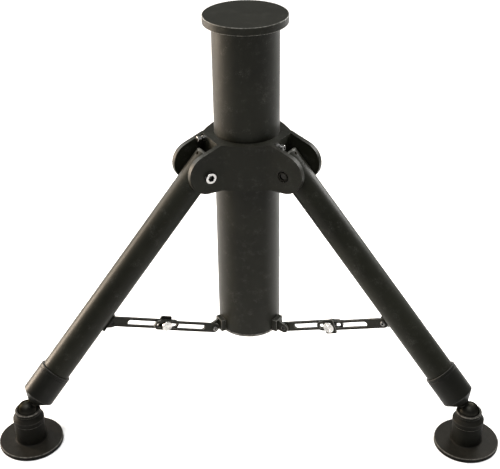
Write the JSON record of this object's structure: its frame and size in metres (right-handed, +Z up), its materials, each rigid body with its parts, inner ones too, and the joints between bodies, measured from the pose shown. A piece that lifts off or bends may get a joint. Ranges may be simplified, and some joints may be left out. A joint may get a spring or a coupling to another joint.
{
  "type": "pier tripod stand",
  "caption": "Heavy folding pier tripod: round column with a flat head flange, three hinged tubular legs with slotted clamp braces, levelling sleeves and ball-jointed pad feet.",
  "frame": {"origin": "centre of the head flange's flat top face, on the column's axis", "axes": "+Z up out of the head face along the column, +Y along the rear leg's azimuth, +X to the right seen from the front, between the rear and right legs"},
  "size_m": [1.1818, 1.0436, 0.9516],
  "materials": {
    "black_coat": "semi-matt black powder coat",
    "black_casting": "matt black coated casting",
    "bright_steel": "polished bare steel",
    "dark_steel": "blackened steel",
    "grey_nylon": "plain grey nylon"
  },
  "bodies": {
    "hub": {"column_tube": "black_coat", "head_flange": "black_coat", "column_bottom_cap": "black_coat", "hub_bracket_left": "black_coat", "hub_spacer_left": "black_coat", "pivot_bolt_left": "bright_steel", "pivot_nut_left": "dark_steel", "column_lug_left": "black_coat", "inner_pin_left": "bright_steel", "hub_bracket_right": "black_coat", "hub_spacer_right": "black_coat", "pivot_bolt_right": "bright_steel", "pivot_nut_right": "dark_steel", "column_lug_right": "black_coat", "inner_pin_right": "bright_steel", "hub_bracket_rear": "black_coat", "hub_spacer_rear": "black_coat", "pivot_bolt_rear": "bright_steel", "pivot_nut_rear": "dark_steel", "column_lug_rear": "black_coat", "inner_pin_rear": "bright_steel"},
    "leg_left": {"leg_tube_left": "black_coat", "leg_lug_left": "black_coat", "outer_pin_left": "bright_steel"},
    "sleeve_left": {"level_sleeve_left": "black_coat"},
    "stud_left": {"ball_stud_left": "dark_steel"},
    "liner_left": {"ball_liner_left": "grey_nylon"},
    "foot_left": {"foot_base_left": "black_casting", "foot_cap_left": "black_casting"},
    "inner_brace_left": {"inner_bar_left": "black_coat"},
    "outer_brace_left": {"outer_bar_left": "black_coat"},
    "clamp_left": {"clamp_plate_left": "black_coat", "clamp_bolt_left": "bright_steel"},
    "knob_left": {"clamp_knob_left": "bright_steel"},
    "leg_right": {"leg_tube_right": "black_coat", "leg_lug_right": "black_coat", "outer_pin_right": "bright_steel"},
    "sleeve_right": {"level_sleeve_right": "black_coat"},
    "stud_right": {"ball_stud_right": "dark_steel"},
    "liner_right": {"ball_liner_right": "grey_nylon"},
    "foot_right": {"foot_base_right": "black_casting", "foot_cap_right": "black_casting"},
    "inner_brace_right": {"inner_bar_right": "black_coat"},
    "outer_brace_right": {"outer_bar_right": "black_coat"},
    "clamp_right": {"clamp_plate_right": "black_coat", "clamp_bolt_right": "bright_steel"},
    "knob_right": {"clamp_knob_right": "bright_steel"},
    "leg_rear": {"leg_tube_rear": "black_coat", "leg_lug_rear": "black_coat", "outer_pin_rear": "bright_steel"},
    "sleeve_rear": {"level_sleeve_rear": "black_coat"},
    "stud_rear": {"ball_stud_rear": "dark_steel"},
    "liner_rear": {"ball_liner_rear": "grey_nylon"},
    "foot_rear": {"foot_base_rear": "black_casting", "foot_cap_rear": "black_casting"},
    "inner_brace_rear": {"inner_bar_rear": "black_coat"},
    "outer_brace_rear": {"outer_bar_rear": "black_coat"},
    "clamp_rear": {"clamp_plate_rear": "black_coat", "clamp_bolt_rear": "bright_steel"},
    "knob_rear": {"clamp_knob_rear": "bright_steel"}
  },
  "joints": [
    {"name": "left_leg_hinge", "type": "hinge", "parent": "hub", "child": "leg_left", "pos_m": [-0.10618, -0.0613, -0.3478], "axis": [0.5, -0.866, 0], "range_deg": [-5, 12]},
    {"name": "left_sleeve_turn", "type": "hinge", "parent": "leg_left", "child": "sleeve_left", "pos_m": [-0.10618, -0.0613, -0.3478], "axis": [-0.5882, -0.3396, -0.734], "range_deg": [0, 1800]},
    {"name": "left_stud_slide", "type": "slide", "parent": "leg_left", "child": "stud_left", "axis": [-0.5882, -0.3396, -0.734], "range_m": [0, 0.02]},
    {"name": "left_liner_tilt", "type": "hinge", "parent": "stud_left", "child": "liner_left", "pos_m": [-0.51614, -0.298, -0.85938], "axis": [0.5, -0.866, 0], "range_deg": [-24, 6]},
    {"name": "left_foot_tilt", "type": "hinge", "parent": "liner_left", "child": "foot_left", "pos_m": [-0.51614, -0.298, -0.85938], "axis": [-0.866, -0.5, 0], "range_deg": [-15, 15]},
    {"name": "left_inner_bar_hinge", "type": "hinge", "parent": "hub", "child": "inner_brace_left", "pos_m": [-0.08833, -0.051, -0.7946], "axis": [0.5, -0.866, 0], "range_deg": [-2, 4.6]},
    {"name": "left_outer_bar_hinge", "type": "hinge", "parent": "leg_left", "child": "outer_brace_left", "pos_m": [-0.32043, -0.185, -0.6866], "axis": [0.5, -0.866, 0], "range_deg": [-8.7, 3.7]},
    {"name": "left_clamp_slide", "type": "slide", "parent": "inner_brace_left", "child": "clamp_left", "axis": [-0.8033, -0.4638, 0.3738], "range_m": [-0.0435, 0.0185]},
    {"name": "left_knob_turn", "type": "hinge", "parent": "clamp_left", "child": "knob_left", "pos_m": [-0.20079, -0.11593, -0.74227], "axis": [0.5, -0.866, 0], "continuous": true},
    {"name": "right_leg_hinge", "type": "hinge", "parent": "hub", "child": "leg_right", "pos_m": [0.10618, -0.0613, -0.3478], "axis": [0.5, 0.866, 0], "range_deg": [-5, 12]},
    {"name": "right_sleeve_turn", "type": "hinge", "parent": "leg_right", "child": "sleeve_right", "pos_m": [0.10618, -0.0613, -0.3478], "axis": [0.5882, -0.3396, -0.734], "range_deg": [0, 1800]},
    {"name": "right_stud_slide", "type": "slide", "parent": "leg_right", "child": "stud_right", "axis": [0.5882, -0.3396, -0.734], "range_m": [0, 0.02]},
    {"name": "right_liner_tilt", "type": "hinge", "parent": "stud_right", "child": "liner_right", "pos_m": [0.51614, -0.298, -0.85938], "axis": [0.5, 0.866, 0], "range_deg": [-24, 6]},
    {"name": "right_foot_tilt", "type": "hinge", "parent": "liner_right", "child": "foot_right", "pos_m": [0.51614, -0.298, -0.85938], "axis": [0.866, -0.5, 0], "range_deg": [-15, 15]},
    {"name": "right_inner_bar_hinge", "type": "hinge", "parent": "hub", "child": "inner_brace_right", "pos_m": [0.08833, -0.051, -0.7946], "axis": [0.5, 0.866, 0], "range_deg": [-2, 4.6]},
    {"name": "right_outer_bar_hinge", "type": "hinge", "parent": "leg_right", "child": "outer_brace_right", "pos_m": [0.32043, -0.185, -0.6866], "axis": [0.5, 0.866, 0], "range_deg": [-8.7, 3.7]},
    {"name": "right_clamp_slide", "type": "slide", "parent": "inner_brace_right", "child": "clamp_right", "axis": [0.8033, -0.4638, 0.3738], "range_m": [-0.0435, 0.0185]},
    {"name": "right_knob_turn", "type": "hinge", "parent": "clamp_right", "child": "knob_right", "pos_m": [0.20079, -0.11593, -0.74227], "axis": [0.5, 0.866, 0], "continuous": true},
    {"name": "rear_leg_hinge", "type": "hinge", "parent": "hub", "child": "leg_rear", "pos_m": [0, 0.1226, -0.3478], "axis": [-1, 0, 0], "range_deg": [-5, 12]},
    {"name": "rear_sleeve_turn", "type": "hinge", "parent": "leg_rear", "child": "sleeve_rear", "pos_m": [0, 0.1226, -0.3478], "axis": [0, 0.6792, -0.734], "range_deg": [0, 1800]},
    {"name": "rear_stud_slide", "type": "slide", "parent": "leg_rear", "child": "stud_rear", "axis": [0, 0.6792, -0.734], "range_m": [0, 0.02]},
    {"name": "rear_liner_tilt", "type": "hinge", "parent": "stud_rear", "child": "liner_rear", "pos_m": [0, 0.59599, -0.85938], "axis": [-1, 0, 0], "range_deg": [-24, 6]},
    {"name": "rear_foot_tilt", "type": "hinge", "parent": "liner_rear", "child": "foot_rear", "pos_m": [0, 0.59599, -0.85938], "axis": [0, 1, 0], "range_deg": [-15, 15]},
    {"name": "rear_inner_bar_hinge", "type": "hinge", "parent": "hub", "child": "inner_brace_rear", "pos_m": [0, 0.102, -0.7946], "axis": [-1, 0, 0], "range_deg": [-2, 4.6]},
    {"name": "rear_outer_bar_hinge", "type": "hinge", "parent": "leg_rear", "child": "outer_brace_rear", "pos_m": [0, 0.37, -0.6866], "axis": [-1, 0, 0], "range_deg": [-8.7, 3.7]},
    {"name": "rear_clamp_slide", "type": "slide", "parent": "inner_brace_rear", "child": "clamp_rear", "axis": [0, 0.9275, 0.3738], "range_m": [-0.0435, 0.0185]},
    {"name": "rear_knob_turn", "type": "hinge", "parent": "clamp_rear", "child": "knob_rear", "pos_m": [0, 0.23185, -0.74227], "axis": [-1, 0, 0], "continuous": true}
  ],
  "couplings": [
    {"joint": "left_stud_slide", "follows": "left_sleeve_turn", "m_per_rad": 0.00063662},
    {"joint": "left_inner_bar_hinge", "follows": "left_leg_hinge", "ratio": 0.375},
    {"joint": "left_outer_bar_hinge", "follows": "left_leg_hinge", "ratio": -0.72},
    {"joint": "left_clamp_slide", "follows": "left_leg_hinge", "m_per_rad": -0.2053},
    {"joint": "right_stud_slide", "follows": "right_sleeve_turn", "m_per_rad": 0.00063662},
    {"joint": "right_inner_bar_hinge", "follows": "right_leg_hinge", "ratio": 0.375},
    {"joint": "right_outer_bar_hinge", "follows": "right_leg_hinge", "ratio": -0.72},
    {"joint": "right_clamp_slide", "follows": "right_leg_hinge", "m_per_rad": -0.2053},
    {"joint": "rear_stud_slide", "follows": "rear_sleeve_turn", "m_per_rad": 0.00063662},
    {"joint": "rear_inner_bar_hinge", "follows": "rear_leg_hinge", "ratio": 0.375},
    {"joint": "rear_outer_bar_hinge", "follows": "rear_leg_hinge", "ratio": -0.72},
    {"joint": "rear_clamp_slide", "follows": "rear_leg_hinge", "m_per_rad": -0.2053}
  ]
}
